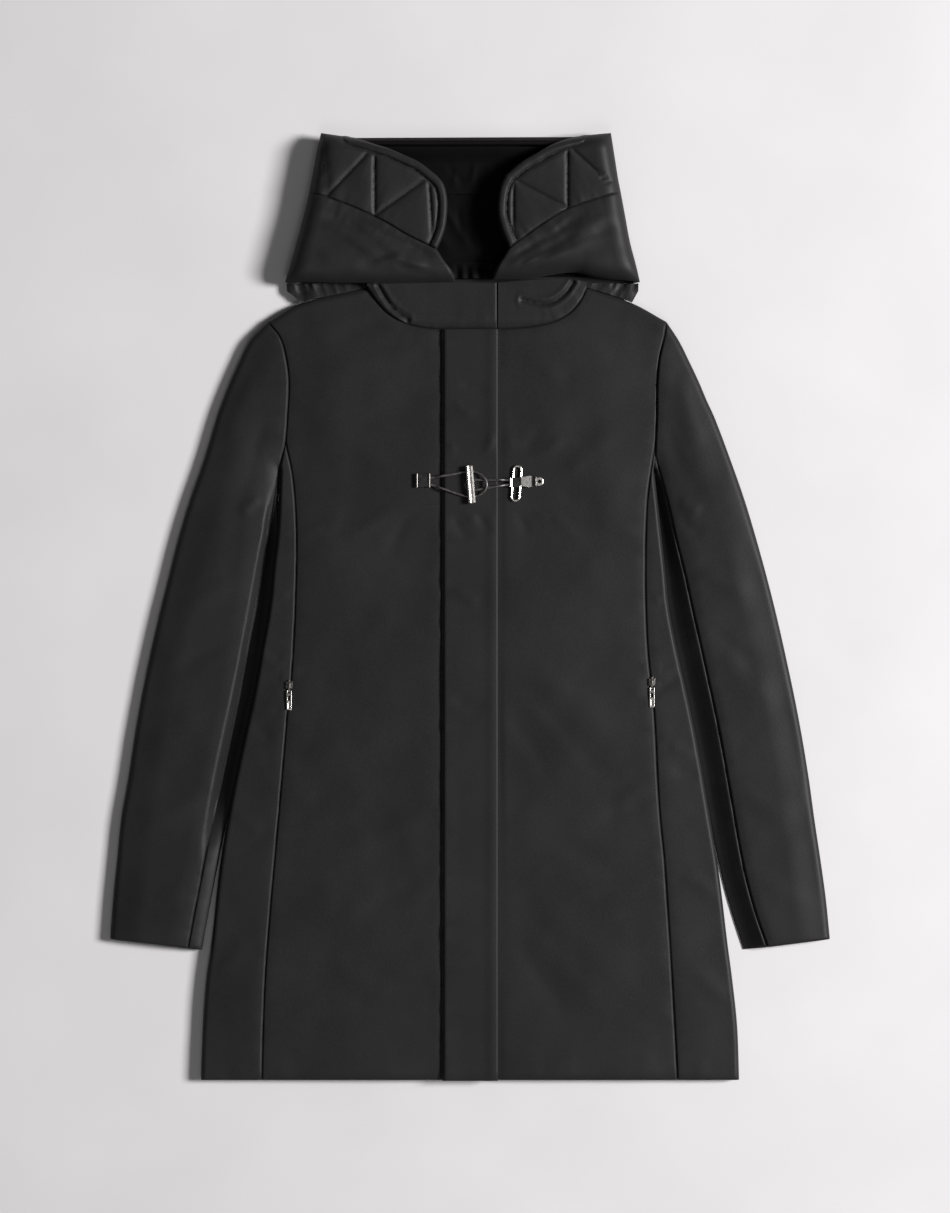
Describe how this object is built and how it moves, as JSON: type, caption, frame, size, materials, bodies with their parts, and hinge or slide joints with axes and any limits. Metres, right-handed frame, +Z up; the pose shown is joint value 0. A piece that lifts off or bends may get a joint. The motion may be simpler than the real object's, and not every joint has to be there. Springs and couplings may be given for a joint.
{
  "type": "hooded toggle coat, laid flat",
  "caption": "Women's black padded hooded coat laid flat on its back, with a fly placket, a toggle at the chest and zipped pockets.",
  "frame": {"origin": "on the surface that the coat lies on, under the middle of its bounding box", "axes": "+X to the wearer's left, +Y from the hem to the hood, +Z up from the surface, out of the coat's front"},
  "size_m": [0.722, 0.9482, 0.0363],
  "materials": {
    "twill": "black technical twill, lightly padded, satin to matt",
    "lining": "black woven lining",
    "leather": "black smooth leather and waxed cord",
    "steel": "polished nickel-plated metal",
    "dark_steel": "dark polished metal"
  },
  "bodies": {
    "root": {"back": "twill", "front_right_centre": "twill", "front_left_centre": "twill", "side_front_right": "twill", "side_front_left": "twill", "placket": "twill", "neckband_right": "twill", "neckband_left": "twill", "sleeve_top_right": "twill", "sleeve_top_left": "twill", "sleeve_under_right": "twill", "sleeve_under_left": "twill", "hood_centre": "twill", "hood_side_right": "twill", "hood_side_left": "twill", "hood_brim_right": "twill", "hood_brim_left": "twill", "hood_brim_top": "twill", "hood_edge_top": "twill", "hood_base_right": "twill", "hood_base_left": "twill", "hood_lining": "lining", "hood_facing": "lining", "hood_neck_gather": "lining", "toggle_tab": "leather", "toggle_loop": "leather", "bar_cord": "leather", "ring_wrap": "leather", "tab_clamp_outer": "steel", "tab_clamp_inner": "steel", "toggle_bar": "steel", "cord_clamp": "steel", "toggle_ring": "steel", "toggle_hook": "steel", "zip_slider_right": "steel", "zip_slider_left": "steel", "hook_band": "dark_steel"},
    "pull_tab_right": {"zip_pull_right": "steel"},
    "pull_tab_left": {"zip_pull_left": "steel"}
  },
  "joints": [
    {"name": "zip_pull_right_lift", "type": "hinge", "parent": "root", "child": "pull_tab_right", "pos_m": [-0.181, -0.084, 0.01586], "axis": [-1, 0, 0], "range_deg": [0, 120]},
    {"name": "zip_pull_left_lift", "type": "hinge", "parent": "root", "child": "pull_tab_left", "pos_m": [0.182, -0.081, 0.01573], "axis": [-1, 0, 0], "range_deg": [0, 120]}
  ]
}
